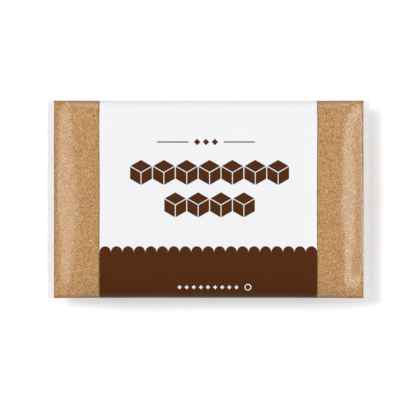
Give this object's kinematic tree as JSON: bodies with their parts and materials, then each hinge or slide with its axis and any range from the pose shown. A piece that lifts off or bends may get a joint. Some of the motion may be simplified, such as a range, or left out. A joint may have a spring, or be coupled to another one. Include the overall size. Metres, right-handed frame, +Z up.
{
  "type": "pouch of sugar",
  "caption": "Sealed pillow pouch of clear film filled with brown sugar, lying flat, with a printed belt round its middle and a crimped seal at each end.",
  "frame": {"origin": "on the table, under the middle of the pouch", "axes": "+X along the pouch from the left seal to the right seal, +Y towards the top edge of the print, +Z up, out of the printed side"},
  "size_m": [0.2286, 0.1408, 0.0445],
  "materials": {
    "sugar": "fine moist grains, rough, behind clear film",
    "clear_film": "thin clear glossy film",
    "white_print": "opaque white print under glossy film",
    "brown_print": "opaque dark brown print under glossy film"
  },
  "bodies": {
    "root": {"pouch": "sugar"}
  },
  "joints": []
}
